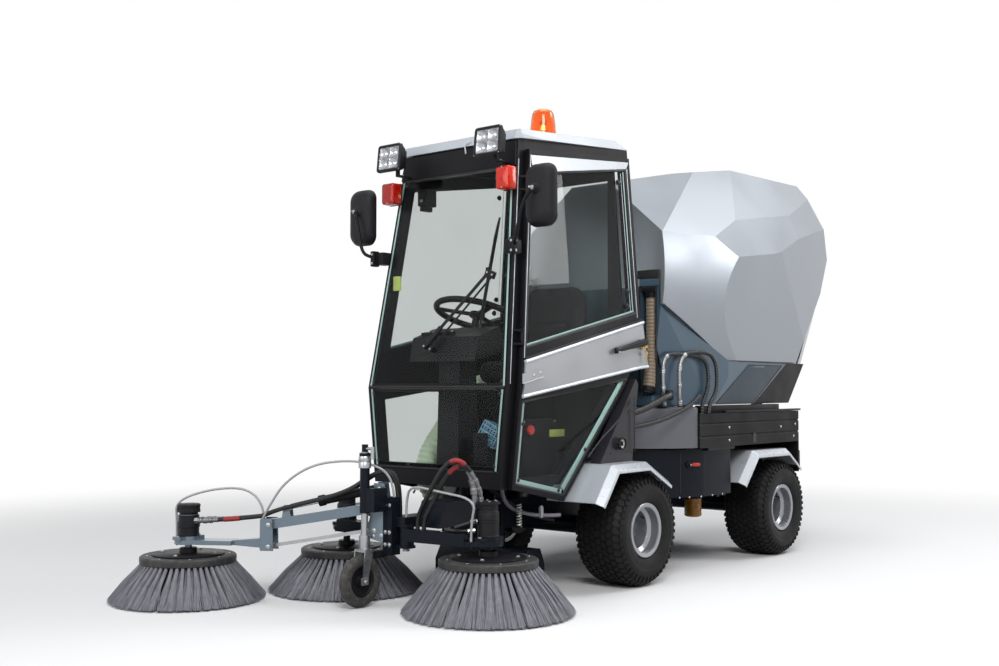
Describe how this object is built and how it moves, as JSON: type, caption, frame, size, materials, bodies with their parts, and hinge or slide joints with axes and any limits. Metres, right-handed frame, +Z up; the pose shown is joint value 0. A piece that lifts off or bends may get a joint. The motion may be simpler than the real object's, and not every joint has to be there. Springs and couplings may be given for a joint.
{
  "type": "compact street sweeper",
  "caption": "Articulated compact street sweeper: glazed two-door cab, side brushes on a front lift frame with caster, third brush arm and a tipping faceted hopper.",
  "frame": {"origin": "middle of the outline on the ground", "axes": "+Y to the rear, +X to the left side of the machine, +Z up"},
  "size_m": [1.8589, 3.9434, 2.216],
  "materials": {
    "tyre": "matte tread rubber",
    "rim": "satin silver-grey paint",
    "navy": "gloss dark navy paint",
    "black_frame": "satin black paint",
    "silver": "satin silver paint",
    "shell": "gloss light silver-blue paint",
    "base_blue": "gloss steel-blue paint",
    "grey_cover": "satin grey moulding",
    "black_plastic": "textured black moulding",
    "glass": "green-tinted safety glass",
    "engine": "plain block",
    "seat": "black seat cover",
    "amber": "clear amber",
    "lamp": "clear lens over reflector",
    "red_lens": "red lens",
    "filter": "gloss orange paint",
    "hose": "black rubber hose",
    "air_hose": "corrugated beige hose",
    "duct_hose": "corrugated pale hose",
    "bristle": "grey nylon bristle under black ring",
    "arm": "pale silver-blue paint",
    "zinc": "bright zinc plate",
    "ram_black": "gloss black paint",
    "chrome": "polished rod",
    "caster_tyre": "solid rubber"
  },
  "bodies": {
    "front": {"front_frame": "black_frame", "front_fenders": "silver", "cab_front": "black_frame", "cab_frame": "black_frame", "cab_glass": "glass", "cab_roof": "silver", "seat": "seat", "steering_console": "black_plastic", "side_panels": "grey_cover", "beacon": "amber", "front_lamps": "lamp", "mirrors": "black_plastic", "wiper": "black_plastic", "suction_mouth": "navy", "suction_hose": "duct_hose"},
    "rear": {"rear_frame": "navy", "drum_shroud": "grey_cover", "engine_cover": "black_plastic", "engine_block": "engine", "side_skirts": "navy", "rear_fenders": "silver", "tail_lamps": "red_lens", "oil_filter": "filter", "service_hoses": "hose"},
    "hopper": {"hopper_shell": "shell", "hopper_base": "base_blue", "hopper_tail": "black_frame", "hopper_hose": "air_hose"},
    "hopper_flap": {"hopper_door": "shell"},
    "door_left": {"door_left_frame": "black_frame", "door_left_panel": "silver", "door_left_glass": "glass"},
    "door_right": {"door_right_frame": "black_frame", "door_right_panel": "silver", "door_right_glass": "glass"},
    "sweeper": {"sweeper_frame": "navy", "third_bracket": "arm"},
    "left_arm": {"left_arm": "navy", "left_hoses": "hose"},
    "left_brush": {"brush_left": "bristle"},
    "right_arm": {"right_arm": "navy", "right_hoses": "hose"},
    "right_brush": {"brush_right": "bristle"},
    "third_arm": {"third_arm": "arm"},
    "third_tie": {"third_tie": "zinc"},
    "third_head": {"third_head": "arm", "third_hoses": "hose"},
    "third_brush": {"brush_third": "bristle"},
    "ram_barrel": {"ram_barrel": "ram_black"},
    "ram_rod": {"ram_rod": "chrome"},
    "caster_fork": {"caster_fork": "zinc"},
    "caster_wheel": {"caster_wheel": "caster_tyre"},
    "wheel_front_left": {"tyre_front_left": "tyre", "rim_front_left": "rim"},
    "wheel_front_right": {"tyre_front_right": "tyre", "rim_front_right": "rim"},
    "wheel_rear_left": {"tyre_rear_left": "tyre", "rim_rear_left": "rim"},
    "wheel_rear_right": {"tyre_rear_right": "tyre", "rim_rear_right": "rim"}
  },
  "joints": [
    {"name": "steer", "type": "hinge", "parent": "front", "child": "rear", "pos_m": [0.1995, 0.51832, 0.3375], "axis": [0, 0, 1], "range_deg": [-30, 30]},
    {"name": "spin_front_left", "type": "hinge", "parent": "front", "child": "wheel_front_left", "pos_m": [0.6095, -0.14668, 0.25], "axis": [-1, 0, 0], "continuous": true},
    {"name": "spin_front_right", "type": "hinge", "parent": "front", "child": "wheel_front_right", "pos_m": [-0.2105, -0.14668, 0.25], "axis": [-1, 0, 0], "continuous": true},
    {"name": "spin_rear_left", "type": "hinge", "parent": "rear", "child": "wheel_rear_left", "pos_m": [0.6095, 1.18232, 0.25], "axis": [-1, 0, 0], "continuous": true},
    {"name": "spin_rear_right", "type": "hinge", "parent": "rear", "child": "wheel_rear_right", "pos_m": [-0.2105, 1.18232, 0.25], "axis": [-1, 0, 0], "continuous": true},
    {"name": "hopper_tip", "type": "hinge", "parent": "rear", "child": "hopper", "pos_m": [0.1995, 1.45332, 0.78], "axis": [-1, 0, 0], "range_deg": [0, 50]},
    {"name": "hopper_flap", "type": "hinge", "parent": "hopper", "child": "hopper_flap", "pos_m": [0.1995, 1.95732, 1.59], "axis": [1, 0, 0], "range_deg": [0, 70]},
    {"name": "door_left", "type": "hinge", "parent": "front", "child": "door_left", "pos_m": [0.6325, -0.93968, 0.88], "axis": [0.0713, -0.1484, -0.9863], "range_deg": [0, 75]},
    {"name": "door_right", "type": "hinge", "parent": "front", "child": "door_right", "pos_m": [-0.2335, -0.93968, 0.88], "axis": [0.0713, 0.1484, 0.9863], "range_deg": [0, 75]},
    {"name": "sweeper_lift", "type": "hinge", "parent": "front", "child": "sweeper", "pos_m": [0.1995, -0.74668, 0.33], "axis": [-1, 0, 0], "range_deg": [0, 8]},
    {"name": "left_arm_swing", "type": "hinge", "parent": "sweeper", "child": "left_arm", "pos_m": [0.2295, -1.18268, 0.285], "axis": [0, 0, 1], "range_deg": [-12, 4]},
    {"name": "right_arm_swing", "type": "hinge", "parent": "sweeper", "child": "right_arm", "pos_m": [0.1095, -1.12168, 0.285], "axis": [0, 0, 1], "range_deg": [-8, 0]},
    {"name": "left_brush_spin", "type": "hinge", "parent": "left_arm", "child": "left_brush", "pos_m": [0.5795, -1.07668, 0.2], "axis": [0, 0, -1], "continuous": true},
    {"name": "right_brush_spin", "type": "hinge", "parent": "right_arm", "child": "right_brush", "pos_m": [-0.2705, -1.04668, 0.17], "axis": [0, 0, 1], "continuous": true},
    {"name": "third_lift", "type": "hinge", "parent": "sweeper", "child": "third_arm", "pos_m": [0.09246, -1.21716, 0.395], "axis": [-0.5236, 0.8519, 0], "range_deg": [0, 20]},
    {"name": "third_tie", "type": "hinge", "parent": "sweeper", "child": "third_tie", "pos_m": [0.09246, -1.21716, 0.305], "axis": [-0.5236, 0.8519, 0], "range_deg": [0, 20]},
    {"name": "third_level", "type": "hinge", "parent": "third_arm", "child": "third_head", "pos_m": [-0.29091, -1.45279, 0.32], "axis": [-0.5236, 0.8519, 0], "range_deg": [-20, 0]},
    {"name": "third_brush_spin", "type": "hinge", "parent": "third_head", "child": "third_brush", "pos_m": [-0.6015, -1.64368, 0.17], "axis": [0, 0, 1], "continuous": true},
    {"name": "ram_swing", "type": "hinge", "parent": "sweeper", "child": "ram_barrel", "pos_m": [0.1095, -1.20668, 0.475], "axis": [-0.5236, 0.8519, 0], "range_deg": [0, 19.15]},
    {"name": "ram_slide", "type": "slide", "parent": "ram_barrel", "child": "ram_rod", "axis": [-0.8325, -0.5117, -0.2125], "range_m": [-0.02758, 0]},
    {"name": "caster_swivel", "type": "hinge", "parent": "sweeper", "child": "caster_fork", "pos_m": [0.0995, -1.29168, 0.4], "axis": [0, 0, 1], "continuous": true},
    {"name": "caster_spin", "type": "hinge", "parent": "caster_fork", "child": "caster_wheel", "pos_m": [0.0995, -1.31568, 0.105], "axis": [-1, 0, 0], "continuous": true}
  ],
  "couplings": [
    {"joint": "third_tie", "follows": "third_lift", "ratio": 1},
    {"joint": "third_level", "follows": "third_lift", "ratio": -1},
    {"joint": "ram_swing", "follows": "third_lift", "ratio": 0.93226},
    {"joint": "ram_slide", "follows": "third_lift", "m_per_rad": -0.077585}
  ]
}
